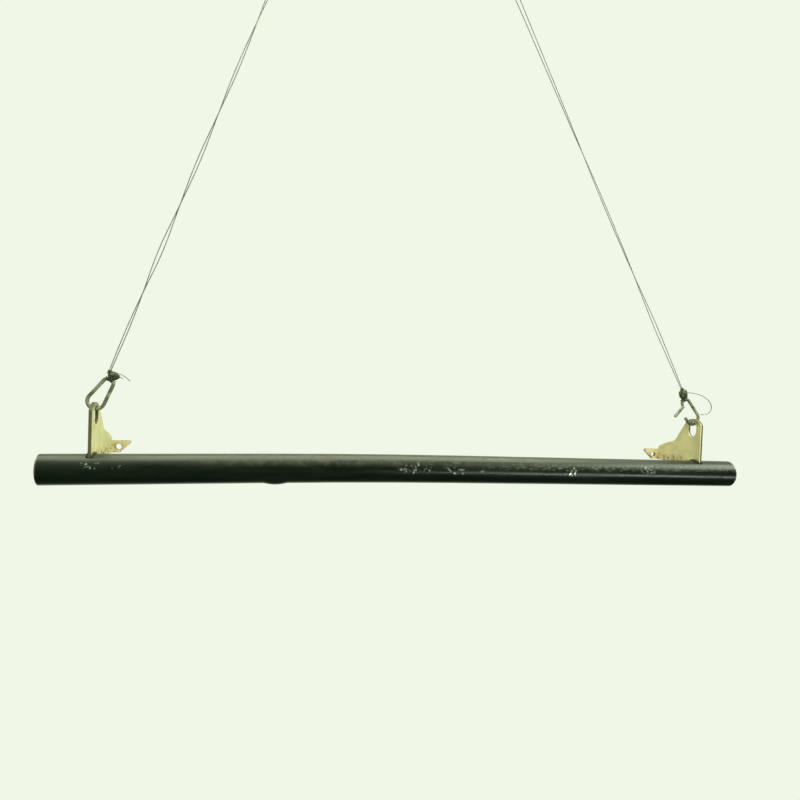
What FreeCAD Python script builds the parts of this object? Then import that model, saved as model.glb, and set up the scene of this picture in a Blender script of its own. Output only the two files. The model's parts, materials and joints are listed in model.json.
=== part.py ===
"""Pull-up bar: a bent steel tube hung from two ceiling eyes by doubled wires and snap hooks.

Row frame: the origin is midway between the two ceiling eyes, on the ceiling's surface,
+X runs along the bar, +Y points away from the user and +Z points up. Millimetres and degrees.
Most pieces are drawn in the bar's own frame, whose origin is the middle of the tube's axis,
and their Placement carries them down from the ceiling to where the bar hangs.
"""
import FreeCAD, Part
import math
import os

Vector = FreeCAD.Vector
Rotation = FreeCAD.Rotation
Placement = FreeCAD.Placement

X_AXIS = Vector(1, 0, 0)
Y_AXIS = Vector(0, 1, 0)
Z_AXIS = Vector(0, 0, 1)

DIMENSIONS = {
    # tube, nominal one inch steel pipe
    "bar_length": 850.0,
    "tube_diameter": 33.7,
    "tube_wall": 3.2,
    "bend_turn": 1.24,          # the tube has been bent by this much in use
    "bend_start": 235.0,        # from the left end to where the bend starts
    "bend_length": 230.0,
    # where the bar hangs under the ceiling
    "hang_drop": 630.0,
    "bar_offset": 47.0,         # the bar's middle stands this far right of the eyes' middle
    "hang_depth": 7.0,          # the hooks hang this far behind the tube's axis
    # ceiling screw eyes
    "eye_spacing": 265.6,
    "eye_drop": 15.0,           # ring centre under the ceiling
    "ring_radius": 9.0,
    "ring_rod": 5.0,
    "screw_diameter": 6.0,
    "screw_length": 24.0,
    "screw_tip": 5.0,
    # brackets, pressed plate
    "plate_station": 374.0,
    "plate_thickness": 3.5,
    "plate_front": 9.5,
    "plate_rear": 77.0,
    "plate_bottom": 10.0,
    "eyelet_width": 16.0,
    "eyelet_height": 20.0,
    "eyelet_top": 69.2,
    "fold_inner": 1.5,
    "tab_reach": 23.0,
    "tab_top": 24.5,
    "tab_hole": 7.0,
    "tab_hole_reach": 9.0,
    "tab_hole_height": 17.0,
    "weld_bead": 4.4,
    # snap hooks, 41 mm long, bent from round rod
    "hook_rod": 4.0,
    "wide_radius": 8.8,
    "narrow_radius": 5.5,
    "arc_distance": 22.7,
    "hook_height": 74.5,        # the wide arc's centre, above the tube's axis
    "inward_left": 1.0,         # and how far in it stands from the plate, as its wire pulls it
    "inward_right": 2.2,
    "lean_left": 31.0,
    "lean_right": 30.0,
    "hook_opening": 18.0,       # the right hook has been pulled open by this much
    "tongue_thickness": 1.4,
    "fork_gap": 1.6,
    "pin_diameter": 1.5,
    "pin_clearance": 0.05,
    "pin_length": 4.3,
    "gate_hang": 62.0,          # the right gate has sprung out past its nose by this much
    "spring_bore": 1.8,
    "spring_mean": 1.24,
    "spring_wire": 0.3,
    # suspension wire and its knots
    "wire_diameter": 1.0,
    "knot_sleeve": 6.2,
    "knot_width": 12.4,
    "knot_depth": 8.0,
    "knot_height_left": 7.6,
    "knot_height_right": 12.0,
}

doc = FreeCAD.newDocument("pull_up_bar")
sheet = doc.addObject("Spreadsheet::Sheet", "dims")
for row, (alias, value) in enumerate(DIMENSIONS.items(), start=1):
    sheet.set(f"A{row}", alias.replace("_", " "))
    sheet.set(f"B{row}", str(value))
    sheet.setAlias(f"B{row}", alias)
doc.recompute()


def dim(alias):
    """A driving dimension, read back from the spreadsheet."""
    return float(sheet.get(alias))


SIDES = {"left": -1, "right": 1}
TUBE_R = dim("tube_diameter") / 2
ROD_R = dim("hook_rod") / 2
WIRE_R = dim("wire_diameter") / 2
BAR_TO_ROW = Placement(Vector(dim("bar_offset"), -dim("hang_depth"), -dim("hang_drop")), Rotation())
sub_parts = []


# ---------------------------------------------------------------- shared helpers

def add(kind, name, placement=None, **bindings):
    """A document object whose properties follow expressions on the spreadsheet."""
    piece = doc.addObject(kind, name)
    for prop, expression in bindings.items():
        piece.setExpression(prop, expression)
    if placement is not None:
        piece.Placement = placement
    return piece


def cut(name, base, tool):
    piece = doc.addObject("Part::Cut", name)
    piece.Base = base
    piece.Tool = tool
    return piece


def fuse(name, pieces):
    piece = doc.addObject("Part::MultiFuse", name)
    piece.Shapes = pieces
    return piece


def shaped(name, shape):
    """A free-form piece, whose shape was worked out from the spreadsheet."""
    piece = doc.addObject("Part::Feature", name)
    piece.Shape = shape
    return piece


def finish(piece, label, placement):
    """Names a sub-part after its node and carries it to where it belongs in the row frame."""
    piece.Label = label
    piece.Placement = placement.multiply(piece.Placement)
    sub_parts.append(piece)


def line(start, end):
    return Part.LineSegment(start, end).toShape()


def arc(start, middle, end):
    return Part.Arc(start, middle, end).toShape()


def sweep(edges, radius):
    """A round rod along tangent straight runs and arcs."""
    path = Part.Wire(edges)
    start = edges[0].valueAt(edges[0].FirstParameter)
    tangent = edges[0].tangentAt(edges[0].FirstParameter)
    section = Part.Wire([Part.makeCircle(radius, start, tangent)])
    return path.makePipeShell([section], True, False)


def axes_placement(base, x_dir, y_dir, z_dir):
    return Placement(base, Rotation(x_dir, y_dir, z_dir, "ZXY"))


# ---------------------------------------------------------------- tube

BEND_TURN = math.radians(dim("bend_turn"))
BEND_RADIUS = dim("bend_length") / BEND_TURN
RIGHT_RUN = dim("bar_length") - dim("bend_start") - dim("bend_length")
LEFT_RISE = BEND_TURN * (RIGHT_RUN + dim("bend_length") / 2) / dim("bar_length")
RIGHT_FALL = BEND_TURN - LEFT_RISE
LEFT_TANGENT = Vector(math.cos(LEFT_RISE), 0, math.sin(LEFT_RISE))
RIGHT_FALL_SINE = math.sin(RIGHT_FALL)
RIGHT_TANGENT = Vector(math.cos(RIGHT_FALL), 0, -RIGHT_FALL_SINE)
LEFT_END = Vector(-dim("bar_length") / 2, 0, 0)


def along(start, direction, distance):
    return start + direction * distance


def tube_skin(name, radius):
    """The tube's outer or inner skin as a solid: straight run, shallow bend, straight run."""
    left_up = Vector(-LEFT_TANGENT.z, 0, LEFT_TANGENT.x)
    bend_entry = along(LEFT_END, LEFT_TANGENT, dim("bend_start"))
    bend_centre = along(bend_entry, left_up, -BEND_RADIUS)
    right_up = Vector(RIGHT_FALL_SINE, 0, RIGHT_TANGENT.x)
    middle_up = (left_up + right_up).normalize()
    bend_middle = along(bend_centre, middle_up, BEND_RADIUS)
    bend_exit = along(bend_centre, right_up, BEND_RADIUS)
    far_end = along(bend_exit, RIGHT_TANGENT, RIGHT_RUN)
    edges = [line(LEFT_END, bend_entry), arc(bend_entry, bend_middle, bend_exit), line(bend_exit, far_end)]
    return shaped(name, sweep(edges, radius))


def make_tube():
    outer = tube_skin("tube_outer", TUBE_R)
    inner = tube_skin("tube_inner", TUBE_R - dim("tube_wall"))
    finish(cut("tube", outer, inner), "bar_tube", BAR_TO_ROW)
    return outer


# ---------------------------------------------------------------- brackets and their welds

def plate_outline(x_plane):
    """The pressed plate's edge, seen along the bar: tall at the eyelet, low at the folded tab."""
    def at(y, z):
        return Vector(x_plane, y, z)

    front = -dim("plate_front")
    rear = dim("plate_rear")
    bottom = dim("plate_bottom")
    foot = at(front, bottom)
    shoulder = at(front, 65.0)
    crown = at(6.5, 73.2)
    back = at(20.5, 67.0)
    waist = at(34.7, 49.0)
    hollow = at(39.2, 43.2)
    lobe_start = at(45.7, 39.2)
    lobe = at(61.5, 35.0)
    lobe_end = at(rear, 28.5)
    heel = at(rear, bottom)
    return Part.Wire([line(foot, shoulder), arc(shoulder, crown, back), line(back, waist),
                      arc(waist, hollow, lobe_start), arc(lobe_start, lobe, lobe_end),
                      line(lobe_end, heel), line(heel, foot)])


def make_eyelet(side, x_plane):
    """The obround hole that the snap hook hangs in."""
    half = dim("eyelet_width") / 2
    top = dim("eyelet_top") - half
    low = dim("eyelet_top") - dim("eyelet_height") + half
    depth = dim("hang_depth")
    reach = dim("plate_thickness")
    ends = []
    for place, height in (("upper", top), ("lower", low)):
        centre = Vector(x_plane - reach, depth, height)
        ends.append(add("Part::Cylinder", f"{side}_eyelet_{place}",
                        Placement(centre, Rotation(Z_AXIS, X_AXIS)),
                        Radius="dims.eyelet_width / 2", Height="dims.plate_thickness * 2"))
    middle = add("Part::Box", f"{side}_eyelet_middle",
                 Placement(Vector(x_plane - reach, depth - half, low), Rotation()),
                 Length="dims.plate_thickness * 2", Width="dims.eyelet_width",
                 Height="dims.eyelet_height - dims.eyelet_width")
    return fuse(f"{side}_eyelet", ends + [middle])


def make_fold(side, sign, x_plane):
    """The quarter bend between the plate and its tab."""
    half = dim("plate_thickness") / 2
    inner = dim("fold_inner")
    centre = Vector(x_plane - sign * (half + inner), dim("plate_rear"), dim("plate_bottom"))
    turned = Rotation(Z_AXIS, 0 if sign > 0 else 90)
    height = "dims.tab_top - dims.plate_bottom"
    outside = add("Part::Cylinder", f"{side}_fold_outside", Placement(centre, turned),
                  Radius="dims.fold_inner + dims.plate_thickness", Height=height)
    outside.Angle = 90
    inside = add("Part::Cylinder", f"{side}_fold_inside", Placement(centre, turned),
                 Radius="dims.fold_inner", Height=height)
    return cut(f"{side}_fold", outside, inside)


def make_tab(side, sign, x_plane):
    """The tab: parallel to the bar, its lower inner corner cut off, with one hole."""
    half = dim("plate_thickness") / 2
    near = dim("plate_rear") + dim("fold_inner")
    root = half + dim("fold_inner")
    reach = dim("tab_reach")
    top = dim("tab_top")

    def at(inward, z):
        return Vector(x_plane - sign * inward, near, z)

    corners = [at(root, dim("plate_bottom")), at(10.0, dim("plate_bottom")), at(reach, 22.3),
               at(reach - 2.0, top), at(root, top)]
    outline = Part.makePolygon(corners + corners[:1])
    blank = add("Part::Extrusion", f"{side}_tab_blank", LengthFwd="dims.plate_thickness")
    blank.Base = shaped(f"{side}_tab_outline", outline)
    blank.Dir = Y_AXIS
    blank.DirMode = "Custom"
    blank.Solid = True
    hole_start = Vector(x_plane - sign * dim("tab_hole_reach"), near - 1, dim("tab_hole_height"))
    hole = add("Part::Cylinder", f"{side}_tab_hole", Placement(hole_start, Rotation(Z_AXIS, Y_AXIS)),
               Radius="dims.tab_hole / 2", Height="dims.plate_thickness + 2")
    return cut(f"{side}_tab", blank, hole)


def make_bracket(side, sign, tube_outer):
    x_plane = sign * dim("plate_station")
    blank = add("Part::Extrusion", f"{side}_plate_blank", LengthFwd="dims.plate_thickness")
    blank.Base = shaped(f"{side}_plate_outline", plate_outline(x_plane))
    blank.Dir = X_AXIS
    blank.DirMode = "Custom"
    blank.Solid = True
    blank.Symmetric = True
    pierced = cut(f"{side}_plate_pierced", blank, make_eyelet(side, x_plane))
    coped = cut(f"{side}_plate_coped", pierced, tube_outer)
    whole = fuse(f"{side}_bracket_blank",
                 [coped, make_fold(side, sign, x_plane), make_tab(side, sign, x_plane)])
    finish(whole, f"{side}_bracket", BAR_TO_ROW)
    make_weld(side, sign, x_plane, blank, tube_outer)


def make_weld(side, sign, x_plane, plate, tube_outer):
    """A fillet bead on each face of the plate, round the top of the tube."""
    offset = dim("plate_thickness") / 2 + 0.5
    first_angle = -36.0
    span = 88.0
    tube_axis_height = (abs(LEFT_END.x) - abs(x_plane)) * (RIGHT_FALL if sign > 0 else LEFT_RISE)
    beads = []
    for face in (-1, 1):
        centre = Vector(x_plane + face * offset, 0, tube_axis_height)
        start = Vector(0, math.sin(math.radians(first_angle)), math.cos(math.radians(first_angle)))
        bead = add("Part::Torus", f"{side}_bead_{'inner' if face * sign < 0 else 'outer'}",
                   axes_placement(centre, start, -X_AXIS.cross(start), -X_AXIS),
                   Radius1="dims.tube_diameter / 2 + 0.4", Radius2="dims.weld_bead / 2")
        bead.Angle1 = -180
        bead.Angle2 = 180
        bead.Angle3 = span
        beads.append(bead)
    on_plate = cut(f"{side}_beads_on_plate", fuse(f"{side}_beads", beads), plate)
    finish(cut(f"{side}_beads_on_tube", on_plate, tube_outer), f"{side}_bracket_weld", BAR_TO_ROW)


# ---------------------------------------------------------------- snap hooks
# Drawn in the XZ plane of the hook's own frame: origin at the wide arc's centre, +Z towards the
# narrow end and +X towards the gate. The right hook is the same hook turned round.

WIDE_R = dim("wide_radius")
NARROW_R = dim("narrow_radius")
TAPER = math.asin((WIDE_R - NARROW_R) / dim("arc_distance"))
GATE_DOWN = Vector(math.sin(TAPER), 0, -math.cos(TAPER))
GATE_OUT = Vector(math.cos(TAPER), 0, math.sin(TAPER))
NARROW_CENTRE = Vector(0, 0, dim("arc_distance"))
WIDE_TANGENT = GATE_OUT * WIDE_R
NARROW_TANGENT = NARROW_CENTRE + GATE_OUT * NARROW_R
ARM_LENGTH = 0.4
PIN_FROM_NARROW = 3.4
NOSE_LENGTH = 1.0
NOSE_TONGUE = 3.5
GATE_END_GAP = 0.3
FORK_ROOT_GAP = 0.7
PIN_POINT = NARROW_TANGENT + GATE_DOWN * PIN_FROM_NARROW
GATE_LENGTH = (WIDE_TANGENT - PIN_POINT).Length - NOSE_LENGTH - GATE_END_GAP


def hook_placement(side):
    """From the hook's own frame to the bar's frame: it leans in along its wire."""
    sign = SIDES[side]
    across = dim("plate_station") - dim(f"inward_{side}")
    centre = Vector(sign * across, dim("hang_depth"), dim("hook_height"))
    lean = Rotation(Y_AXIS, -sign * dim(f"lean_{side}"))
    turned = Rotation(Z_AXIS, 180 if sign > 0 else 0)
    return Placement(centre, lean.multiply(turned))


def rod_frame(base, ahead):
    """A frame on the rod's line, with +Z pointing ahead."""
    return axes_placement(base, Y_AXIS.cross(ahead), Y_AXIS, ahead)


def gate_frame(distance):
    """A frame on the gate's line, distance down from the pin, with +Z pointing down the gate."""
    return rod_frame(PIN_POINT + GATE_DOWN * distance, GATE_DOWN)


def tongue(start, ahead, length):
    """The rod pressed flat: both tongues of the hook's frame are made this way."""
    rod = Part.makeCylinder(ROD_R, length)
    thickness = dim("tongue_thickness")
    flat = Part.makeBox(2 * ROD_R, thickness, length, Vector(-ROD_R, -thickness / 2, 0))
    piece = rod.common(flat)
    piece.Placement = rod_frame(start, ahead)
    return piece


def hinge_tongue():
    """The tongue that the gate turns on: a rounded end with the pin's hole through it."""
    thickness = dim("tongue_thickness")
    hole_r = dim("pin_diameter") / 2 + dim("pin_clearance")
    from_arm = PIN_FROM_NARROW - ARM_LENGTH
    strip = tongue(PIN_POINT - GATE_DOWN * from_arm, GATE_DOWN, from_arm)
    start = PIN_POINT - Y_AXIS * (thickness / 2)
    end = Part.makeCylinder(ROD_R, thickness, start, Y_AXIS)
    hole = Part.makeCylinder(hole_r, thickness, start, Y_AXIS)
    return strip.fuse(end).cut(hole)


def hook_frame_shape(opening):
    """One bent rod: nose, wide arc, spine, narrow arc and the short arm above the gate.

    A hook that has been pulled open has the end of its wide arc straightened by that angle.
    """
    arc_end_angle = TAPER - opening
    arc_end = Vector(math.cos(arc_end_angle), 0, math.sin(arc_end_angle)) * WIDE_R
    ahead = Vector(-math.sin(arc_end_angle), 0, math.cos(arc_end_angle))
    nose = arc_end + ahead * (NOSE_LENGTH + WIDE_R * opening)
    spine_low = Vector(-WIDE_TANGENT.x, 0, WIDE_TANGENT.z)
    spine_high = Vector(-NARROW_TANGENT.x, 0, NARROW_TANGENT.z)
    arm_end = NARROW_TANGENT + GATE_DOWN * ARM_LENGTH
    edges = [line(nose, arc_end), arc(arc_end, Vector(0, 0, -WIDE_R), spine_low),
             line(spine_low, spine_high),
             arc(spine_high, NARROW_CENTRE + Z_AXIS * NARROW_R, NARROW_TANGENT),
             line(NARROW_TANGENT, arm_end)]
    rod = sweep(edges, ROD_R)
    return rod.fuse([hinge_tongue(), tongue(nose, ahead, NOSE_TONGUE)]).removeSplitter()


def gate_shape():
    """A rod forked at both ends: round its pin at the top, over the nose's tongue at the bottom."""
    gap = dim("fork_gap")
    rod = Part.makeCylinder(ROD_R, GATE_LENGTH)
    ear_end = Part.makeCylinder(ROD_R, 2 * ROD_R, Vector(0, -ROD_R, 0), Y_AXIS)
    ball = Part.makeSphere(ROD_R).common(ear_end)
    body = rod.fuse(ball)
    fork_root = ROD_R + FORK_ROOT_GAP
    top_slot = Part.makeBox(4 * ROD_R, gap, 2 * ROD_R + FORK_ROOT_GAP, Vector(-2 * ROD_R, -gap / 2, -ROD_R))
    low_slot_start = GATE_LENGTH + GATE_END_GAP - NOSE_TONGUE - FORK_ROOT_GAP
    low_slot = Part.makeBox(4 * ROD_R, gap, 2 * NOSE_TONGUE, Vector(-2 * ROD_R, -gap / 2, low_slot_start))
    pin_hole = Part.makeCylinder(dim("pin_diameter") / 2, 4 * ROD_R, Vector(0, -2 * ROD_R, 0), Y_AXIS)
    spring_room = Part.makeCylinder(dim("spring_bore") / 2, SPRING_ROOM, Vector(0, 0, fork_root))
    shape = body.cut([top_slot, low_slot, pin_hole, spring_room])
    shape.Placement = gate_frame(0)
    return shape


SPRING_ROOM = 8.0
SPRING_LENGTH = 5.4
SPRING_TURNS = 7
PLUNGER_LENGTH = 2.6
PLUNGER_CLEARANCE = 0.1


def gate_spring_shape():
    """The small compression spring in the gate's bore, which keeps the gate shut."""
    mean_r = dim("spring_mean") / 2
    helix = Part.makeHelix(SPRING_LENGTH / SPRING_TURNS, SPRING_LENGTH, mean_r)
    start = Vector(mean_r, 0, 0)
    section = Part.Wire([Part.makeCircle(dim("spring_wire") / 2, start, Y_AXIS)])
    coil = Part.Wire(helix).makePipeShell([section], True, True)
    floor = ROD_R + FORK_ROOT_GAP + SPRING_ROOM
    coil.Placement = gate_frame(floor - SPRING_LENGTH - dim("spring_wire") / 2)
    return coil


def gate_plunger_shape():
    """The pin between the spring and the hinge tongue's rounded end."""
    plunger = Part.makeCylinder(dim("spring_bore") / 2 - PLUNGER_CLEARANCE, PLUNGER_LENGTH)
    plunger.Placement = gate_frame(ROD_R + PLUNGER_CLEARANCE / 2)
    return plunger


def make_snap_hook(side):
    placed = BAR_TO_ROW.multiply(hook_placement(side))
    opening = math.radians(dim("hook_opening")) if side == "right" else 0.0
    finish(shaped(f"{side}_hook_rod", hook_frame_shape(opening)), f"{side}_snap_hook", placed)
    hang = dim("gate_hang") if side == "right" else 0.0
    swung = Placement(Vector(), Rotation(Y_AXIS, -hang), PIN_POINT)
    gate_placed = placed.multiply(swung)
    finish(shaped(f"{side}_gate_rod", gate_shape()), f"{side}_gate", gate_placed)
    finish(shaped(f"{side}_spring_coil", gate_spring_shape()), f"{side}_gate_spring", gate_placed)
    finish(shaped(f"{side}_plunger_rod", gate_plunger_shape()), f"{side}_gate_plunger", gate_placed)
    pin = add("Part::Cylinder", f"{side}_pin_rod", Radius="dims.pin_diameter / 2", Height="dims.pin_length")
    pin_start = Placement(PIN_POINT - Y_AXIS * (dim("pin_length") / 2), Rotation(Z_AXIS, Y_AXIS))
    finish(pin, f"{side}_gate_pin", gate_placed.multiply(pin_start))


# ---------------------------------------------------------------- ceiling eyes

def eye_centre(side):
    """The ring's centre, in the row frame."""
    return Vector(SIDES[side] * dim("eye_spacing") / 2, 0, -dim("eye_drop"))


def make_ceiling_eye(side):
    """A screw eye: its ring stands across the bar, and its shank goes up into the ceiling."""
    ring = add("Part::Torus", f"{side}_ring", Placement(Vector(), Rotation(Z_AXIS, X_AXIS)),
               Radius1="dims.ring_radius", Radius2="dims.ring_rod / 2")
    neck = add("Part::Cylinder", f"{side}_neck", Placement(Vector(0, 0, dim("ring_radius")), Rotation()),
               Radius="dims.ring_rod / 2", Height="dims.eye_drop - dims.ring_radius")
    screw = add("Part::Cylinder", f"{side}_screw", Placement(Vector(0, 0, dim("eye_drop")), Rotation()),
                Radius="dims.screw_diameter / 2", Height="dims.screw_length")
    tip_start = Vector(0, 0, dim("eye_drop") + dim("screw_length"))
    tip = add("Part::Cone", f"{side}_tip", Placement(tip_start, Rotation()),
              Radius1="dims.screw_diameter / 2", Height="dims.screw_tip")
    tip.Radius2 = 0.4
    whole = fuse(f"{side}_eye_blank", [ring, neck, screw, tip])
    finish(whole, f"{side}_ceiling_eye", Placement(eye_centre(side), Rotation()))


# ---------------------------------------------------------------- wires, knots and loose ends

# Each wire is one strand, doubled: up from the knot, over the ring and back down, loosely twisted.
# A point is (distance up from the knot, sideways, depth); the way down takes the same points
# on the other side.
TWISTS = {
    "left": [(0, 0.7, 0), (47, 1.7, 0.3), (93, 0, 0.9), (144, -2.9, 0), (195, 0, -0.9), (252, 2.2, 0),
             (308, 0, 0.9), (367, -1.9, 0), (425, 0, -0.9), (479, 2.1, -0.2)],
    "right": [(0, 0.7, 0), (47, 2.0, 0.3), (95, 2.4, 0), (143, 1.3, 0.6), (187, 0, 0.9), (243, -1.1, 0.3),
              (301, -1.2, -0.3), (357, 0, -0.9), (411, 1.1, -0.4), (465, 1.8, -0.2), (515, 2.4, -0.1)],
}
LOOP_RADIUS = 3.1
LOOP_LEAD = 6.0

# Where each doubled wire leaves its knot, from the narrow arc's centre: (inward or outward, up).
KNOT_FOOT = {"left": (1.2, 12.6), "right": (-6.5, 17.8)}
# Each knot's lump stands off the narrow arc's centre: (distance, turned from upright in degrees).
KNOT_LUMP = {"left": (10.5, 34.0), "right": (13.0, -20.0)}

# Loose wire ends, in the bar's frame.
TAILS = {
    "left_wire_tail": [(-355.5, 5.0, 102.9), (-352.6, 4.2, 105.1), (-349.0, 3.6, 105.2), (-345.1, 3.4, 103.4),
                       (-341.4, 3.8, 100.5), (-338.1, 4.6, 97.3)],
    "left_wire_tail_short": [(-355.1, 9.6, 100.9), (-353.0, 10.6, 101.9), (-350.1, 11.2, 101.5),
                             (-346.8, 10.6, 99.9)],
    "right_wire_tail": [(359.5, 5.4, 108.6), (366.8, 4.0, 108.2), (374.6, 3.0, 107.0), (382.5, 2.5, 104.6),
                        (389.8, 2.3, 100.8), (395.6, 2.4, 95.0), (397.8, 2.6, 88.0), (394.8, 3.0, 82.0),
                        (388.6, 3.2, 79.4), (381.6, 3.2, 79.5)],
}


def rounded(points, special=None):
    """Straight runs joined by tangent arcs, each as large as its two runs allow."""
    special = special or {}
    edges = []
    reached = points[0]
    for index in range(1, len(points) - 1):
        corner = points[index]
        back = points[index - 1] - corner
        ahead = points[index + 1] - corner
        half_turn = (math.pi - back.getAngle(ahead)) / 2
        radius = special.get(index, 0.45 * min(back.Length, ahead.Length) / math.tan(half_turn))
        tangent_length = radius * math.tan(half_turn)
        back.normalize()
        ahead.normalize()
        arc_start = corner + back * tangent_length
        arc_end = corner + ahead * tangent_length
        inward = (back + ahead).normalize()
        arc_middle = corner + inward * (radius / math.cos(half_turn) - radius)
        edges.append(line(reached, arc_start))
        edges.append(arc(arc_start, arc_middle, arc_end))
        reached = arc_end
        print(f"  corner {index}: radius {radius:.1f}")
    edges.append(line(reached, points[-1]))
    return edges


def cord_tube(label, points, special=None):
    print(label)
    edges = rounded(points, special)
    length = sum(edge.Length for edge in edges)
    shape = sweep(edges, WIRE_R)
    solid_ratio = shape.Volume / (math.pi * WIRE_R ** 2 * length)
    print(f"  length {length:.1f}, volume over section times length {solid_ratio:.4f}")
    finish(shaped(f"{label}_tube", shape), label, Placement())


def knot_centre(side):
    """The narrow arc's centre of a hook, in the row frame."""
    return BAR_TO_ROW.multiply(hook_placement(side)).multVec(NARROW_CENTRE)


def make_wire(side):
    ring_bottom = eye_centre(side) - Z_AXIS * dim("ring_radius")
    aside_from_arc, over_arc = KNOT_FOOT[side]
    foot = knot_centre(side) + X_AXIS * aside_from_arc + Z_AXIS * over_arc
    foot.y = ring_bottom.y
    pull = (ring_bottom - foot).normalize()
    sideways = Vector(pull.z, 0, -pull.x)

    def strand(way):
        return [foot + pull * up + sideways * (way * aside) + Y_AXIS * (way * depth)
                for up, aside, depth in TWISTS[side]]

    def loop(way):
        aside = ring_bottom + sideways * (way * LOOP_RADIUS)
        return [aside - pull * LOOP_LEAD, aside + pull * LOOP_RADIUS]

    last_way = 1 if TWISTS[side][-1][1] > 0 else -1
    rising = strand(1) + loop(last_way)
    points = rising + loop(-last_way)[::-1] + strand(-1)[::-1]
    loop_bend = LOOP_RADIUS - 0.02
    corners = {len(rising) - 1: loop_bend, len(rising): loop_bend}
    cord_tube(f"{side}_wire", points, corners)


def make_knot(side):
    """The wire's turns round the hook's narrow end and the lump that they gather into, as one solid."""
    span = 76.0
    start_angle = math.radians(90 - span / 2)
    start = Vector(math.cos(start_angle), 0, math.sin(start_angle))
    ahead = Vector(-start.z, 0, start.x)
    on_hook = BAR_TO_ROW.multiply(hook_placement(side))
    turns = add("Part::Torus", f"{side}_knot_turns",
                on_hook.multiply(axes_placement(NARROW_CENTRE, start, ahead, -Y_AXIS)),
                Radius1="dims.narrow_radius", Radius2="dims.knot_sleeve / 2")
    turns.Angle1 = -180
    turns.Angle2 = 180
    turns.Angle3 = span
    distance, turned = KNOT_LUMP[side]
    tilt = Rotation(Y_AXIS, turned)
    lump = add("Part::Ellipsoid", f"{side}_knot_lump",
               Placement(knot_centre(side) + tilt.multVec(Z_AXIS) * distance, tilt),
               Radius1=f"dims.knot_height_{side} / 2", Radius2="dims.knot_width / 2",
               Radius3="dims.knot_depth / 2")
    lump.Angle1 = -90
    lump.Angle2 = 90
    rod = add("Part::Torus", f"{side}_knot_rod_room",
              on_hook.multiply(axes_placement(NARROW_CENTRE, X_AXIS, Z_AXIS, -Y_AXIS)),
              Radius1="dims.narrow_radius", Radius2="dims.hook_rod / 2 + 0.03")
    rod.Angle1 = -180
    rod.Angle2 = 180
    knot = cut(f"{side}_knot_body", fuse(f"{side}_knot_blank", [turns, lump]), rod)
    finish(knot, f"{side}_wire_knot", Placement())


def make_tails():
    for label, route in TAILS.items():
        cord_tube(label, [BAR_TO_ROW.multVec(Vector(*point)) for point in route])


# ---------------------------------------------------------------- build, check and export

def check_document():
    """Stops at a failed object, or at a sub-part with no valid shape."""
    for piece in doc.Objects:
        if "Invalid" in piece.State or "Error" in piece.State:
            raise RuntimeError(f"{piece.Name} failed: {piece.State}")
    for piece in sub_parts:
        if piece.Shape.isNull() or not piece.Shape.isValid():
            raise RuntimeError(f"{piece.Label} has no valid shape")


def export_parts():
    os.makedirs("parts", exist_ok=True)
    for piece in sub_parts:
        piece.Shape.exportStep(f"parts/{piece.Label}.step")
        box = piece.Shape.BoundBox
        print(f"{piece.Label}: {len(piece.Shape.Solids)} solids, {piece.Shape.Volume:.1f} mm3, "
              f"x {box.XMin:.1f} {box.XMax:.1f} y {box.YMin:.1f} {box.YMax:.1f} z {box.ZMin:.1f} {box.ZMax:.1f}")


tube_outer_skin = make_tube()
for side_name, side_sign in SIDES.items():
    make_bracket(side_name, side_sign, tube_outer_skin)
    make_snap_hook(side_name)
    make_ceiling_eye(side_name)
    make_wire(side_name)
    make_knot(side_name)
    pin_place = BAR_TO_ROW.multiply(hook_placement(side_name)).multVec(PIN_POINT)
    print(side_name, "gate pin at", [round(value, 3) for value in pin_place])
make_tails()
doc.recompute()
check_document()
export_parts()
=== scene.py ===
"""Looks of the hanging pull-up bar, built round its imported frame.

Metres, in the row frame: the origin is midway between the two ceiling eyes on the ceiling's
surface, +X runs along the bar, +Y points away from the user and +Z points up.
"""

import json
import math
import random

import bmesh
import bpy
from mathutils import Matrix, Vector

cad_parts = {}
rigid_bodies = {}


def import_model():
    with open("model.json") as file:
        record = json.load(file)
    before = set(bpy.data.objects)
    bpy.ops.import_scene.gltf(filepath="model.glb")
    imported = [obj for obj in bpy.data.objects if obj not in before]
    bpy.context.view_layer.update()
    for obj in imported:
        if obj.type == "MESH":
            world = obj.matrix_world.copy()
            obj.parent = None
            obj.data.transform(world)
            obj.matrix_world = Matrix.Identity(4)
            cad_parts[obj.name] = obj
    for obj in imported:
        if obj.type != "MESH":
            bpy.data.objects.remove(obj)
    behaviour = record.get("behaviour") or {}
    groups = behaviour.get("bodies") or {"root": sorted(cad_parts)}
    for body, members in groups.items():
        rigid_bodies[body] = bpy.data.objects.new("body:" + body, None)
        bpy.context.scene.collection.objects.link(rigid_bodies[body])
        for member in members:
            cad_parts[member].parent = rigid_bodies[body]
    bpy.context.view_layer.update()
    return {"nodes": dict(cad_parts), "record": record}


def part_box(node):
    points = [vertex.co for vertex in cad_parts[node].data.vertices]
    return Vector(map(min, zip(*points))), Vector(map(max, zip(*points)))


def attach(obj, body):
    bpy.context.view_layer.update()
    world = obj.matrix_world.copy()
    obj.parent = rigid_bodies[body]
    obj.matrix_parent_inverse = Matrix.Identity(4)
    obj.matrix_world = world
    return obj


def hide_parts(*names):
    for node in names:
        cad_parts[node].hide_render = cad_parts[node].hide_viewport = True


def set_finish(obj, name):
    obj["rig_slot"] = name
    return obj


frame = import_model()

MM = 0.001
SIDES = {"left": -1, "right": 1}
X_AXIS = Vector((1, 0, 0))
Y_AXIS = Vector((0, 1, 0))
Z_AXIS = Vector((0, 0, 1))


# ---------------------------------------------------------------- places taken from the frame

def middle(corners):
    return (corners[0] + corners[1]) / 2


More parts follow.
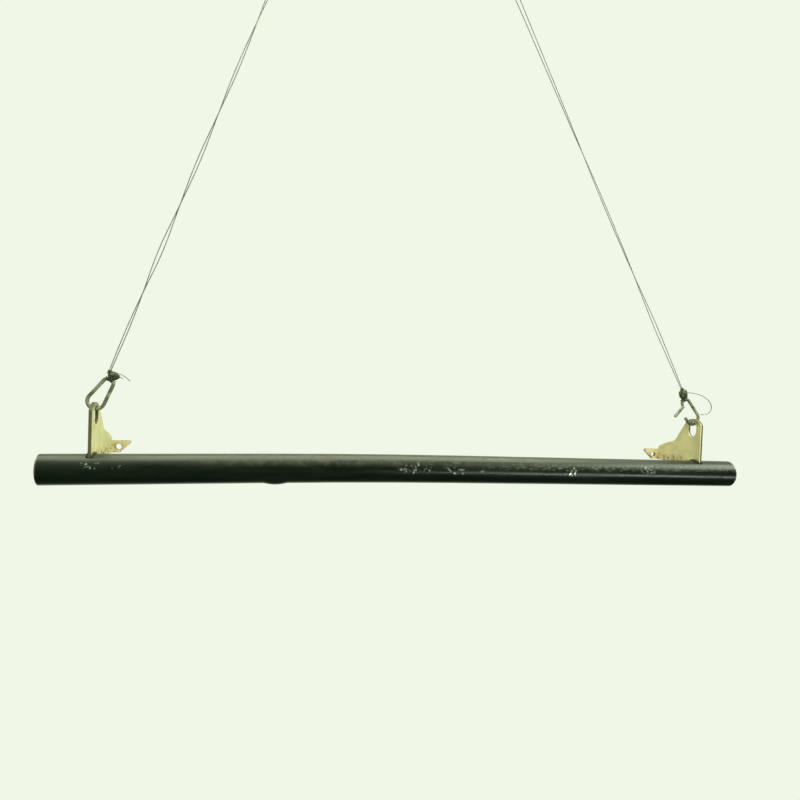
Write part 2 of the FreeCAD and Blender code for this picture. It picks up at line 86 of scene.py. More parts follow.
TUBE_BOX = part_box("bar_tube")
TUBE_R = (TUBE_BOX[1].y - TUBE_BOX[0].y) / 2
BAR = Vector((middle(TUBE_BOX).x, middle(TUBE_BOX).y, TUBE_BOX[0].z + TUBE_R))
BAR_HALF = (TUBE_BOX[1].x - TUBE_BOX[0].x) / 2
HUMP = TUBE_BOX[1].z - TUBE_R - BAR.z

PLATE_STATION = 374 * MM
PLATE_THICKNESS = 3.5 * MM
EYE_RING_R = 9 * MM
EYE_ROD_R = 2.5 * MM
SCREW_LENGTH = 24 * MM
SCREW_TIP = 5 * MM
SCREW_R = 3 * MM
HOOK_DEPTH = 7 * MM
HOOK_HEIGHT = 74.5 * MM
HOOK_INWARD = {"left": 1.0 * MM, "right": 2.2 * MM}
NARROW_R = 5.5 * MM
ROD_R = 2 * MM
ARC_DISTANCE = 22.7 * MM
LEAN = {"left": math.radians(31), "right": math.radians(30)}
WIRE_R = 0.5 * MM


def eye_centre(side):
    """The middle of a ceiling eye's ring."""
    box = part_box(f"{side}_ceiling_eye")
    return Vector((middle(box).x, middle(box).y, box[0].z + EYE_RING_R + EYE_ROD_R))


def hook_matrix(side):
    """From a snap hook's own frame, with its wide arc's centre as origin, to the row frame."""
    sign = SIDES[side]
    across = sign * (PLATE_STATION - HOOK_INWARD[side])
    centre = BAR + Vector((across, HOOK_DEPTH, HOOK_HEIGHT))
    lean = Matrix.Rotation(-sign * LEAN[side], 4, "Y")
    turned = Matrix.Rotation(math.pi if sign > 0 else 0, 4, "Z")
    return Matrix.Translation(centre) @ lean @ turned


def knot_centre(side):
    return hook_matrix(side) @ Vector((0, 0, ARC_DISTANCE))


# ---------------------------------------------------------------- camera

def make_camera():
    """A wide lens a little above the bar and left of its middle, turned slightly right."""
    data = bpy.data.cameras.new("camera")
    data.sensor_width = 36
    data.lens = 27.09
    data.clip_start = 0.01
    data.clip_end = 50
    camera = bpy.data.objects.new("camera", data)
    bpy.context.scene.collection.objects.link(camera)
    yaw = Matrix.Rotation(math.radians(-12.31), 3, "Z")
    pitch = Matrix.Rotation(math.radians(-1.29), 3, "X")
    roll = Matrix.Rotation(math.radians(-2.11), 3, "Y")
    right, forward, up = (yaw @ pitch @ roll).col
    turn = Matrix((right, up, -forward)).transposed().to_4x4()
    place = BAR + Vector((-189.2, -704.5, 102.5)) * MM
    camera.matrix_world = Matrix.Translation(place) @ turn
    bpy.context.scene.camera = camera


# ---------------------------------------------------------------- curves

def new_curve(name):
    """An empty curve object with the wire's thickness."""
    data = bpy.data.curves.new(name, "CURVE")
    data.dimensions = "3D"
    data.bevel_depth = WIRE_R
    data.bevel_resolution = 3
    data.resolution_u = 10
    data.use_fill_caps = True
    piece = bpy.data.objects.new(name, data)
    bpy.context.scene.collection.objects.link(piece)
    return piece


def add_strand(piece, points):
    """One smooth strand through a curve object, with these points as its control points."""
    strand = piece.data.splines.new("NURBS")
    strand.points.add(len(points) - 1)
    for control, point in zip(strand.points, points):
        control.co = (*point, 1)
    strand.order_u = 3
    strand.use_endpoint_u = True


def as_mesh(curve):
    """The same piece as a mesh, which has a true bounding box."""
    graph = bpy.context.evaluated_depsgraph_get()
    name = curve.name
    data = bpy.data.meshes.new_from_object(curve.evaluated_get(graph))
    data.polygons.foreach_set("use_smooth", [True] * len(data.polygons))
    bpy.data.objects.remove(curve)
    piece = bpy.data.objects.new(name, data)
    bpy.context.scene.collection.objects.link(piece)
    return piece


def strand_piece(name, points):
    piece = new_curve(name)
    add_strand(piece, points)
    return as_mesh(piece)


# ---------------------------------------------------------------- suspension wires

# (distance up from the knot, sideways, depth) in millimetres, for the strand going up; the
# strand coming down takes the same points on the other side.
TWISTS = {
    "left": [(0, 0.7, 0), (47, 1.7, 0.3), (93, 0, 0.9), (144, -2.9, 0), (195, 0, -0.9), (252, 2.2, 0),
             (308, 0, 0.9), (367, -1.9, 0), (425, 0, -0.9), (479, 2.1, -0.2)],
    "right": [(0, 0.7, 0), (47, 2.0, 0.3), (95, 2.4, 0), (143, 1.3, 0.6), (187, 0, 0.9), (243, -1.1, 0.3),
              (301, -1.2, -0.3), (357, 0, -0.9), (411, 1.1, -0.4), (465, 1.8, -0.2), (515, 2.4, -0.1)],
}
# Where each doubled wire leaves its knot, in millimetres from the narrow arc's centre: (X, Z).
KNOT_FOOT = {"left": (1.2, 12.6), "right": (-6.5, 17.8)}
LOOP_RADIUS = 3.1 * MM
LOOP_LEAD = 6 * MM

# Loose wire ends, in millimetres from the middle of the tube's axis.
TAILS = {
    "left_tail": [(-355.5, 5.0, 102.9), (-352.6, 4.2, 105.1), (-349.0, 3.6, 105.2), (-345.1, 3.4, 103.4),
                  (-341.4, 3.8, 100.5), (-338.1, 4.6, 97.3)],
    "left_tail_short": [(-355.1, 9.6, 100.9), (-353.0, 10.6, 101.9), (-350.1, 11.2, 101.5),
                        (-346.8, 10.6, 99.9)],
    "right_tail": [(359.5, 5.4, 108.6), (366.8, 4.0, 108.2), (374.6, 3.0, 107.0), (382.5, 2.5, 104.6),
                   (389.8, 2.3, 100.8), (395.6, 2.4, 95.0), (397.8, 2.6, 88.0), (394.8, 3.0, 82.0),
                   (388.6, 3.2, 79.4), (381.6, 3.2, 79.5)],
}
TAIL_NODES = {"left_tail": "left_wire_tail", "left_tail_short": "left_wire_tail_short",
              "right_tail": "right_wire_tail"}


def wire_route(side):
    """Up from the knot, over the ceiling eye's ring and back down, loosely twisted."""
    ring_bottom = eye_centre(side) - Z_AXIS * EYE_RING_R
    aside_from_arc, over_arc = KNOT_FOOT[side]
    foot = knot_centre(side) + Vector((aside_from_arc, 0, over_arc)) * MM
    foot.y = ring_bottom.y
    pull = (ring_bottom - foot).normalized()
    sideways = Vector((pull.z, 0, -pull.x))

    def strand(way):
        return [foot + (pull * up + sideways * (way * aside) + Y_AXIS * (way * depth)) * MM
                for up, aside, depth in TWISTS[side]]

    def loop(way):
        aside = ring_bottom + sideways * (way * LOOP_RADIUS)
        return [aside - pull * LOOP_LEAD, aside + pull * LOOP_RADIUS]

    last_way = 1 if TWISTS[side][-1][1] > 0 else -1
    return strand(1) + loop(last_way) + loop(-last_way)[::-1] + strand(-1)[::-1]


def tail_route(name):
    return [BAR + Vector(point) * MM for point in TAILS[name]]


# ---------------------------------------------------------------- knots

# Each knot's lump: its distance from the narrow arc's centre, in millimetres, and its direction,
# in degrees from upright towards +X.
LUMP_PLACE = {"left": (10.5, 34.0), "right": (13.0, -20.0)}
# Its half height, half width and half depth, in millimetres.
LUMP_SIZE = {"left": (3.8, 6.0, 3.7), "right": (6.0, 6.0, 3.7)}
POINTS_PER_TURN = 12


def lump_frame(side):
    """The lump's middle, and its own upward and crosswise directions."""
    distance, turned = LUMP_PLACE[side]
    angle = math.radians(turned)
    up = Vector((math.sin(angle), 0, math.cos(angle)))
    return knot_centre(side) + up * distance * MM, up, Vector((up.z, 0, -up.x))


def rod_turns(side, chance):
    """Turns of wire wound close round the hook's rod, along its narrow arc."""
    placed = hook_matrix(side)
    centre = Vector((0, 0, ARC_DISTANCE))
    turns, radius, first, last = 6, 2.55, 48, 132
    points = []
    for step in range(turns * POINTS_PER_TURN + 1):
        around = math.tau * step / POINTS_PER_TURN
        share = step / (turns * POINTS_PER_TURN)
        along_arc = math.radians(first + (last - first) * share) + chance.uniform(-0.015, 0.015)
        outward = Vector((math.cos(along_arc), 0, math.sin(along_arc)))
        reach = (radius + chance.uniform(-0.05, 0.08)) * MM
        point = (centre + outward * (NARROW_R + reach * math.cos(around))
                 + Y_AXIS * (reach * math.sin(around)))
        points.append(placed @ point)
    return points


def hitches(side, chance, fullness):
    """Loops passed through the hook's eye, round its rod and over the whole lump."""
    middle_point, up, across = lump_frame(side)
    high, wide, deep = LUMP_SIZE[side]
    eye_side = (knot_centre(side) + up * (NARROW_R - ROD_R - 0.6 * MM) - middle_point).length / MM
    loops, reach_across = 6, 0.75
    points = []
    for step in range(loops * POINTS_PER_TURN + 1):
        around = math.tau * step / POINTS_PER_TURN
        share = reach_across * (2 * step / (loops * POINTS_PER_TURN) - 1)
        girth = math.sqrt(1 - share * share) * fullness
        rise = math.cos(around)
        reach = high * girth * rise if rise > 0 else eye_side * rise
        spread = 1.0 if rise > 0 else 1.0 + 0.5 * rise
        jitter = chance.uniform(-0.18, 0.18)
        points.append(middle_point + (up * (reach + jitter) + across * (wide * share * spread + jitter)
                                      + Y_AXIS * (deep * girth * math.sin(around))) * MM)
    return points


def wraps(side, chance, fullness, slant):
    """Turns of wire across the lump, which hold its loops together."""
    middle_point, up, across = lump_frame(side)
    high, wide, deep = LUMP_SIZE[side]
    turns = round(1.7 * high * fullness)
    points = []
    for step in range(turns * POINTS_PER_TURN + 1):
        around = math.tau * step / POINTS_PER_TURN
        share = 0.92 * (2 * step / (turns * POINTS_PER_TURN) - 1)
        girth = math.sqrt(1 - share * share) * fullness
        jitter = chance.uniform(-0.2, 0.2)
        reach = high * share * fullness + slant * math.cos(around + share)
        points.append(middle_point + (up * (reach + jitter) + across * (wide * girth * math.cos(around))
                                      + Y_AXIS * ((deep * girth + jitter) * math.sin(around))) * MM)
    return points


def collar(side, chance):
    """The last turns of each knot, round the foot of the two strands."""
    route = wire_route(side)
    foot = (route[0] + route[-1]) / 2
    pull = (eye_centre(side) - foot).normalized()
    sideways = Vector((pull.z, 0, -pull.x))
    turns = 4
    points = []
    for step in range(turns * POINTS_PER_TURN + 1):
        around = math.tau * step / POINTS_PER_TURN
        rise = (-2.2 + 1.1 * step / POINTS_PER_TURN) * MM
        wide = (1.8 + chance.uniform(-0.1, 0.15)) * MM
        points.append(foot + pull * rise + sideways * (wide * math.cos(around))
                      + Y_AXIS * (1.2 * MM * math.sin(around)))
    return points


def make_knot(side):
    """Wire wound round the hook's narrow end and gathered into a lump below the two strands."""
    chance = random.Random(7 if side == "left" else 11)
    piece = new_curve(f"{side}_knot_winding")
    piece.data.resolution_u = 3
    piece.data.bevel_resolution = 2
    # From the inside out: the order of these also sets the order of the random draws.
    add_strand(piece, rod_turns(side, chance))
    add_strand(piece, hitches(side, chance, 0.62))
    add_strand(piece, wraps(side, chance, 0.66, 0.4))
    add_strand(piece, wraps(side, chance, 0.86, -0.8))
    add_strand(piece, hitches(side, chance, 1.0))
    add_strand(piece, wraps(side, chance, 1.0, 1.3))
    add_strand(piece, collar(side, chance))
    piece = as_mesh(piece)
    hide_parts(f"{side}_wire_knot")
    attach(piece, "suspension")
    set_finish(piece, "wire")
    return piece


def make_cords():
    """The knots, the loose ends and the two doubled wires; gives back the knots and loose ends."""
    knots = {side: make_knot(side) for side in SIDES}
    tails = {}
    for name, node in TAIL_NODES.items():
        tails[name] = strand_piece(name, tail_route(name))
        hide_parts(node)
        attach(tails[name], "suspension")
        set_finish(tails[name], "wire")
    for side in SIDES:
        route = wire_route(side)
        wire = strand_piece(f"{side}_doubled_wire", route)
        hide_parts(f"{side}_wire")
        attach(wire, "suspension")
        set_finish(wire, "wire")
        carried = [knots[side]]
        if side == "left":
            carried += [tails["left_tail"], tails["left_tail_short"]]
    return list(knots.values()) + list(tails.values())


# ---------------------------------------------------------------- meshes

def new_mesh(name, vertices, faces, smooth=True):
    data = bpy.data.meshes.new(name)
    data.from_pydata(vertices, [], faces)
    data.validate()
    work = bmesh.new()
    work.from_mesh(data)
    bmesh.ops.recalc_face_normals(work, faces=work.faces)
    work.to_mesh(data)
    work.free()
    data.polygons.foreach_set("use_smooth", [smooth] * len(data.polygons))
    piece = bpy.data.objects.new(name, data)
    bpy.context.scene.collection.objects.link(piece)
    return piece


def tube_faces(rings, sides, first=0):
    """Faces of a closed tube of rings, capped at both ends."""
    faces = []
    for ring in range(rings - 1):
        low = first + ring * sides
        for side in range(sides):
            after = (side + 1) % sides
            faces.append((low + side, low + after, low + sides + after, low + sides + side))
    faces.append(tuple(first + side for side in range(sides))[::-1])
    faces.append(tuple(first + (rings - 1) * sides + side for side in range(sides)))
    return faces


TUBE_LENGTH = 850 * MM
BEND_TURN = math.radians(1.24)
BEND_START = 235 * MM
BEND_LENGTH = 230 * MM
BEND_MIDDLE = BEND_START + BEND_LENGTH / 2
HUMP_SLOPE_LEFT = BEND_TURN * (TUBE_LENGTH - BEND_MIDDLE) / TUBE_LENGTH
HUMP_SLOPE_RIGHT = BEND_TURN - HUMP_SLOPE_LEFT


def tube_height(x):
    """Height of the tube's axis over its ends' line, at x from the bar's middle."""
    left_run = -BAR_HALF + BEND_START
    right_run = left_run + BEND_LENGTH
    left_rise = HUMP_SLOPE_LEFT * (x + BAR_HALF)
    right_rise = HUMP_SLOPE_RIGHT * (BAR_HALF - x)
    if x < left_run:
        return left_rise
    if x > right_run:
        return right_rise
    share = (x - left_run) / (right_run - left_run)
    return left_rise - (HUMP_SLOPE_LEFT + HUMP_SLOPE_RIGHT) * (x - left_run) * share / 2


KINK_PLACE = -178.5 * MM
KINK_HALF_LENGTH = 15 * MM
KINK_RISE = 1.7 * MM
KINK_SUNK = -0.6 * MM


def make_kink():
    """The small swelling on the tube's underside where the bend starts."""
    half_angle = math.radians(46)
    middle_angle = math.radians(170)
    rim_sink = 0.25
    lengthwise, across = 28, 20
    vertices = []
    for level in (1, 0):
        for i in range(lengthwise + 1):
            along = 2 * i / lengthwise - 1
            for j in range(across + 1):
                turn = 2 * j / across - 1
                inside = max(0.0, 1 - along * along) * max(0.0, 1 - turn * turn)
                height = KINK_SUNK
                if level:
                    height = KINK_RISE * inside ** 1.4 + KINK_SUNK * (1 - inside) * rim_sink
                angle = middle_angle + turn * half_angle
                x = KINK_PLACE + along * KINK_HALF_LENGTH
                out = TUBE_R + height
                vertices.append(BAR + Vector((x, -out * math.sin(angle),
                                              tube_height(x) + out * math.cos(angle))))
    row = across + 1
    layer = (lengthwise + 1) * row
    faces = []
    for i in range(lengthwise):
        for j in range(across):
            a = i * row + j
            faces.append((a, a + 1, a + row + 1, a + row))
            faces.append((layer + a, layer + a + row, layer + a + row + 1, layer + a + 1))
    rim = list(range(row))
    rim += [i * row + across for i in range(1, lengthwise + 1)]
    rim += [lengthwise * row + j for j in range(across - 1, -1, -1)]
    rim += [i * row for i in range(lengthwise - 1, 0, -1)]
    for a, b in zip(rim, rim[1:] + rim[:1]):
        faces.append((a, b, layer + b, layer + a))
    piece = new_mesh("tube_kink", vertices, faces)
    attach(piece, "bar")
    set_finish(piece, "black_paint")
    return piece


BEAD_R = 1.9 * MM
BEAD_OFF_PLATE = 0.35 * MM
BEAD_OFF_TUBE = 0.15 * MM


def make_weld(side):
    """A rippled bead on each face of the plate, round the top of the tube."""
    sign = SIDES[side]
    chance = random.Random(3 + sign)
    first, last = math.radians(-37), math.radians(53)
    rings, sides = 90, 12
    ripples = 15
    vertices, faces = [], []
    for face in (-1, 1):
        x = sign * PLATE_STATION + face * (PLATE_THICKNESS / 2 + BEAD_OFF_PLATE)
        start = len(vertices)
        phase = chance.uniform(0, math.tau)
        for ring in range(rings):
            share = ring / (rings - 1)
            angle = first + (last - first) * share
            taper = min(1.0, 12 * share, 12 * (1 - share)) ** 0.5
            ripple = 1 + 0.10 * math.sin(math.tau * ripples * share + phase)
            wander = 1 + 0.12 * math.sin(5.3 * share + phase)
            size = BEAD_R * (0.25 + 0.75 * taper) * ripple * wander
            outward = Vector((0, math.sin(angle), math.cos(angle)))
            centre = BAR + Vector((x, 0, tube_height(x))) + outward * (TUBE_R + BEAD_OFF_TUBE)
            for step in range(sides):
                turn = math.tau * step / sides
                vertices.append(centre + outward * (size * math.cos(turn))
                                + X_AXIS * (size * math.sin(turn)))
        faces += tube_faces(rings, sides, start)
    piece = new_mesh(f"{side}_weld_bead", vertices, faces)
    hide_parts(f"{side}_bracket_weld")
    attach(piece, "bar")
    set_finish(piece, "weld")
    return piece


def swept_rings(path, radius, sides):
    """Rings of vertices along a path in the plane across X."""
    vertices = []
    for index, point in enumerate(path):
        ahead = path[min(index + 1, len(path) - 1)] - path[max(index - 1, 0)]
        ahead.normalize()
        across = ahead.cross(X_AXIS)
        for step in range(sides):
            turn = math.tau * step / sides
            vertices.append(point + across * (radius * math.cos(turn))
                            + X_AXIS * (radius * math.sin(turn)))
    return vertices


def make_eye(side):
    """A screw eye bent from one rod: a ring that nearly closes, a shank and a wood thread."""
    centre = eye_centre(side)
    neck_top = -centre.z
    rod_sides = 20
    path = [Vector((0, 0.2 * MM, neck_top)), Vector((0, 0.2 * MM, neck_top - 1.2 * MM)),
            Vector((0, 0.5 * MM, neck_top - 2.6 * MM)), Vector((0, 1.5 * MM, neck_top - 4.3 * MM))]
    bend_end, ring_end, steps = 62.0, -251.0, 72
    for step in range(steps + 1):
        angle = math.radians(bend_end + (ring_end - bend_end) * step / steps)
        path.append(Vector((0, EYE_RING_R * math.cos(angle), EYE_RING_R * math.sin(angle))))
    vertices = [centre + v for v in swept_rings(path, EYE_ROD_R, rod_sides)]
    faces = tube_faces(len(path), rod_sides)
    start = len(vertices)
    pitch, plain, cut_in = 2.4 * MM, 3 * MM, 2 * MM
    core, crest_steepness = 0.74, 4.2
    layers, sides = 150, 28
    total = SCREW_LENGTH + SCREW_TIP
    for layer in range(layers):
        z = total * layer / (layers - 1)
        limit = SCREW_R * min(1.0, (total - z) / SCREW_TIP * 0.94 + 0.08)
        cutting = min(1.0, max(0.0, (z - plain) / cut_in))
        for step in range(sides):
            turn = math.tau * step / sides
            wave = (z / pitch - step / sides) % 1
            crest = max(0.0, 1 - abs(wave - 0.5) * crest_steepness)
            share = 1 - cutting * (1 - core) * (1 - crest)
            out = limit * share
            vertices.append(centre + Vector((out * math.cos(turn), out * math.sin(turn), neck_top + z)))
    faces += tube_faces(layers, sides, start)
    piece = new_mesh(f"{side}_screw_eye", vertices, faces)
    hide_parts(f"{side}_ceiling_eye")
    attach(piece, "ceiling_anchors")
    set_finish(piece, "eye_steel")
    return piece


# ---------------------------------------------------------------- material helpers

class Paint:
    """A material's node tree, with short ways to add to it."""

    def __init__(self, name, roughness=0.5, metallic=0.0):
        self.material = bpy.data.materials.new(name)
        self.material.use_nodes = True
        self.tree = self.material.node_tree
        self.shader = self.tree.nodes["Principled BSDF"]
        self.shader.inputs["Roughness"].default_value = roughness
        self.shader.inputs["Metallic"].default_value = metallic
        self.place = self.node("ShaderNodeTexCoord").outputs["Object"]

    def node(self, kind, **settings):
        made = self.tree.nodes.new(kind)
        for name, value in settings.items():
            setattr(made, name, value)
        return made

    def feed(self, socket, value):
        if isinstance(value, bpy.types.NodeSocket):
            self.tree.links.new(value, socket)
        else:
            socket.default_value = value

    def calc(self, operation, first, second=0.0):
        made = self.node("ShaderNodeMath", operation=operation)
        for socket, value in zip(made.inputs, (first, second)):
            self.feed(socket, value)
        return made.outputs[0]

    def stretched(self, scale):
        made = self.node("ShaderNodeMapping")
        self.feed(made.inputs["Vector"], self.place)
        made.inputs["Scale"].default_value = scale
        return made.outputs[0]

    def noise(self, scale, detail=4.0, roughness=0.55, where=None):
        made = self.node("ShaderNodeTexNoise")
        self.feed(made.inputs["Vector"], where or self.place)
        made.inputs["Scale"].default_value = scale
        made.inputs["Detail"].default_value = detail
        made.inputs["Roughness"].default_value = roughness
        return made.outputs["Fac"]

    def cells(self, scale):
        made = self.node("ShaderNodeTexVoronoi", feature="F1")
        self.feed(made.inputs["Vector"], self.place)
        made.inputs["Scale"].default_value = scale
        return made.outputs["Distance"]

    def band(self, value, low, high, start=0.0, end=1.0):
        """A smooth step of value from low to high."""
        made = self.node("ShaderNodeMapRange", interpolation_type="SMOOTHSTEP")
        for name, given in (("Value", value), ("From Min", low), ("From Max", high), ("To Min", start),
                            ("To Max", end)):
            self.feed(made.inputs[name], given)
        return made.outputs[0]

    def window(self, value, centre, half, soft):
        """1 within half of centre, falling to 0 over soft."""
        away = self.calc("ABSOLUTE", self.calc("SUBTRACT", value, centre))
        return self.band(away, half, half + soft, 1.0, 0.0)

    def blend(self, share, first, second):
        made = self.node("ShaderNodeMix", data_type="RGBA")
        self.feed(made.inputs["Factor"], share)
        self.feed(made.inputs[6], first)
        self.feed(made.inputs[7], second)
        return made.outputs[2]

    def mixed(self, share, first, second):
        """The same for plain numbers."""
        made = self.node("ShaderNodeMix", data_type="FLOAT")
        self.feed(made.inputs[0], share)
        self.feed(made.inputs[2], first)
        self.feed(made.inputs[3], second)
        return made.outputs[0]

    def bump(self, height, strength, distance, under=None):
        made = self.node("ShaderNodeBump")
        made.inputs["Strength"].default_value = strength
        made.inputs["Distance"].default_value = distance
        self.feed(made.inputs["Height"], height)
        if under is not None:
            self.feed(made.inputs["Normal"], under)
        return made.outputs[0]

    def axes(self):
        made = self.node("ShaderNodeSeparateXYZ")
        self.feed(made.inputs[0], self.place)
        return made.outputs

    def set(self, **values):
        for name, value in values.items():
            self.feed(self.shader.inputs[name.replace("_", " ").title()], value)


def colour(red, green, blue):
    return (red, green, blue, 1.0)


# ---------------------------------------------------------------- materials

# Chipped places on the tube's front: (x from the bar's middle, height over its axis, half length,
# half height), in millimetres.
CHIPS = [(-26, 3, 9, 4), (-7, 6, 8, 4), (26, 4, 7, 4), (34, 1, 8, 3), (68, 1, 3, 2), (183, 0, 6, 4),
         (189, 1, 3, 5), (-372, 5, 7, 3), (-345, 4, 4, 2), (238, 3, 5, 2), (292, 4, 10, 4)]
# Two bright strokes down to the steel: (x, height, half height), leaning by the slant.
SCRATCHES = [(183, 0.5, 3.6), (189, 1.0, 3.2)]
SCRATCH_SLANT = -0.45


def black_paint():
    """Worn semi-gloss black paint: rubbed brown on top, chipped to bright steel in places, with a painted
    reflection along the upper front of the right part.
    """
    paint = Paint("worn_black_paint")
    x, y, z = paint.axes()
    height = paint.calc("SUBTRACT", z, BAR.z + HUMP / 2)
    long_streaks = paint.noise(42, 6, 0.6, paint.stretched((0.16, 1, 1)))
    mottling = paint.noise(95, 8, 0.68)
    fine = paint.noise(900, 5, 0.7)
    top = paint.band(height, 3.5 * MM, 13 * MM)

    base = paint.blend(paint.band(long_streaks, 0.35, 0.7), colour(0.003, 0.006, 0.0035),
                       colour(0.009, 0.014, 0.009))
    rub_from = paint.window(x, BAR.x - 60 * MM, 140 * MM, 160 * MM)
    rubbed = paint.calc("MULTIPLY", paint.band(mottling, 0.42, 0.66),
                        paint.calc("MULTIPLY", top, rub_from))
    base = paint.blend(paint.calc("MULTIPLY", rubbed, 0.6), base, colour(0.085, 0.068, 0.040))

    # Painted reflection: a streaky pale grey-green band in the room's tint along the upper front of the
    # tube's right part, also made rougher.
    reflection_side = paint.band(x, BAR.x + 30 * MM, BAR.x + 150 * MM)
    grain = paint.noise(460, 8, 0.78, paint.stretched((0.5, 1, 1)))
    reflection_line = paint.window(height, 6.5 * MM, 1.5 * MM, 4.0 * MM)
    reflection_streak = paint.calc("MULTIPLY", paint.band(grain, 0.5, 0.66),
                      paint.calc("MULTIPLY", reflection_line, reflection_side))
    base = paint.blend(paint.calc("MULTIPLY", reflection_streak, 0.6), base, colour(0.30, 0.34, 0.24))

    flakes = paint.cells(330)
    flake_mask = paint.band(flakes, 0.46, 0.38)
    near_chips = None
    front = paint.band(y, BAR.y - 2 * MM, BAR.y - 6 * MM)
    for along, up, half_long, half_high in CHIPS:
        spot = paint.calc("MULTIPLY",
                          paint.window(x, BAR.x + along * MM, half_long * MM * 0.5, half_long * MM),
                          paint.window(height, up * MM, half_high * MM * 0.5, half_high * MM))
        near_chips = spot if near_chips is None else paint.calc("MAXIMUM", near_chips, spot)
    scatter = paint.band(paint.noise(150, 6, 0.8), 0.50, 0.54)
    chipped = paint.calc("MULTIPLY", near_chips, paint.calc("MULTIPLY", flake_mask, scatter))
    slanted = paint.calc("ADD", x, paint.calc("MULTIPLY", height, SCRATCH_SLANT))
    for along, up, half_high in SCRATCHES:
        stroke = paint.calc("MULTIPLY", paint.window(slanted, BAR.x + along * MM, 0.9 * MM, 0.5 * MM),
                            paint.window(height, up * MM, (half_high - 1) * MM, 1 * MM))
        chipped = paint.calc("MAXIMUM", chipped, stroke)
    chipped = paint.calc("MULTIPLY", chipped, front)
    base = paint.blend(chipped, base, colour(0.80, 0.82, 0.76))

    ends = paint.calc("ABSOLUTE", paint.calc("SUBTRACT", x, BAR.x))
    worn_end = paint.calc("MULTIPLY", paint.band(ends, BAR_HALF - 2.2 * MM, BAR_HALF - 0.5 * MM),
                          paint.band(mottling, 0.40, 0.55))
    base = paint.blend(paint.calc("MULTIPLY", worn_end, 0.8), base, colour(0.22, 0.18, 0.13))

    rough = paint.mixed(paint.band(long_streaks, 0.3, 0.75), 0.24, 0.40)
    rough = paint.mixed(rubbed, rough, 0.55)
    rough = paint.mixed(reflection_streak, rough, 0.5)
    metal = paint.calc("MAXIMUM", chipped, paint.calc("MULTIPLY", worn_end, 0.6))
    orange_peel = paint.bump(paint.noise(330, 3, 0.5), 0.10, 0.6 * MM)
    uneven = paint.bump(paint.noise(28, 3, 0.5, paint.stretched((0.35, 1, 1))), 0.22, 3 * MM, orange_peel)
    dents = paint.bump(paint.calc("SUBTRACT", 1.0, chipped), 0.5, 0.15 * MM, uneven)
    paint.set(base_color=base, roughness=rough, metallic=metal,
              normal=paint.bump(fine, 0.06, 0.1 * MM, dents))
    paint.shader.inputs["Specular IOR Level"].default_value = 0.62
    return paint.material


def shaded_rims(paint, x, y):
    """1 on a bracket's cut edges, which get painted shade: round its plate and eyelet, and round its tab
    and hole.

    The inner strip of the right plate's front edge stays bright, without painted shade.
    """
    facing = paint.node("ShaderNodeSeparateXYZ")
    paint.feed(facing.inputs[0], paint.node("ShaderNodeNewGeometry").outputs["Normal"])
    along_bar = paint.calc("ABSOLUTE", facing.outputs["X"])
    away = paint.calc("ABSOLUTE", facing.outputs["Y"])
    on_plate = paint.band(y, BAR.y + 56 * MM, BAR.y + 52 * MM)
    on_tab = paint.band(y, BAR.y + 78 * MM, BAR.y + 78.6 * MM)
    plate_rim_shade = paint.calc("MULTIPLY", paint.band(along_bar, 0.45, 0.25), on_plate)
    bright_strip = paint.window(x, BAR.x + PLATE_STATION - PLATE_THICKNESS / 2, 1.2 * MM, 0.5 * MM)
    plate_rim_shade = paint.calc("MULTIPLY", plate_rim_shade, paint.calc("SUBTRACT", 1.0, bright_strip))
    tab_rim_shade = paint.calc("MULTIPLY", paint.band(away, 0.45, 0.25), on_tab)
    return paint.calc("MAXIMUM", plate_rim_shade, tab_rim_shade)


def passivated():
    """Dull yellowish zinc plate, stained, with rust round the foot and in spots, and painted shade on the
    cut edges.
    """
    paint = Paint("dull_yellow_zinc")
    x, y, z = paint.axes()
    clouds = paint.noise(48, 6, 0.62)
    speckle = paint.noise(520, 7, 0.72)
    base = paint.blend(paint.band(clouds, 0.38, 0.62), colour(0.70, 0.64, 0.35), colour(0.90, 0.77, 0.43))
    base = paint.blend(paint.calc("MULTIPLY", paint.band(speckle, 0.52, 0.70), 0.55), base,
                       colour(0.86, 0.88, 0.70))
    base = paint.blend(paint.calc("MULTIPLY", paint.band(speckle, 0.44, 0.34), 0.3), base,
                       colour(0.34, 0.31, 0.15))
    crown = paint.band(paint.calc("ADD", z, paint.calc("MULTIPLY", clouds, 8 * MM)),
                       BAR.z + 66 * MM, BAR.z + 74 * MM)
    base = paint.blend(paint.calc("MULTIPLY", crown, 0.7), base, colour(0.16, 0.16, 0.09))
    foot = paint.band(paint.calc("ADD", z, paint.calc("MULTIPLY", clouds, 10 * MM)),
                      BAR.z + 27 * MM, BAR.z + 20 * MM)
    rust_noise = paint.noise(150, 8, 0.72)
    spots = paint.band(rust_noise, 0.64, 0.74)
    rust = paint.calc("MAXIMUM", paint.calc("MULTIPLY", spots, 0.75),
                      paint.calc("MULTIPLY", foot, paint.band(rust_noise, 0.44, 0.60)))
    base = paint.blend(paint.calc("MULTIPLY", rust, 0.85), base, colour(0.16, 0.075, 0.028))
    # Painted shade: the rims of plate, eyelet, tab and hole, picked by which way they face, turn
    # green-black.
    rim_shade = paint.calc("MULTIPLY", shaded_rims(paint, x, y), 0.88)
    base = paint.blend(rim_shade, base, colour(0.035, 0.045, 0.022))
    rough = paint.mixed(paint.band(speckle, 0.35, 0.65), 0.42, 0.62)
    rough = paint.mixed(rust, rough, 0.88)
    metal = paint.mixed(rust, 0.22, 0.05)
    rolled = paint.bump(paint.noise(260, 5, 0.6, paint.stretched((1, 1, 0.12))), 0.12, 0.3 * MM)
    pitted = paint.bump(paint.calc("SUBTRACT", speckle, rust), 0.35, 0.25 * MM, rolled)
    paint.set(base_color=base, roughness=rough, metallic=metal, normal=pitted)
    return paint.material


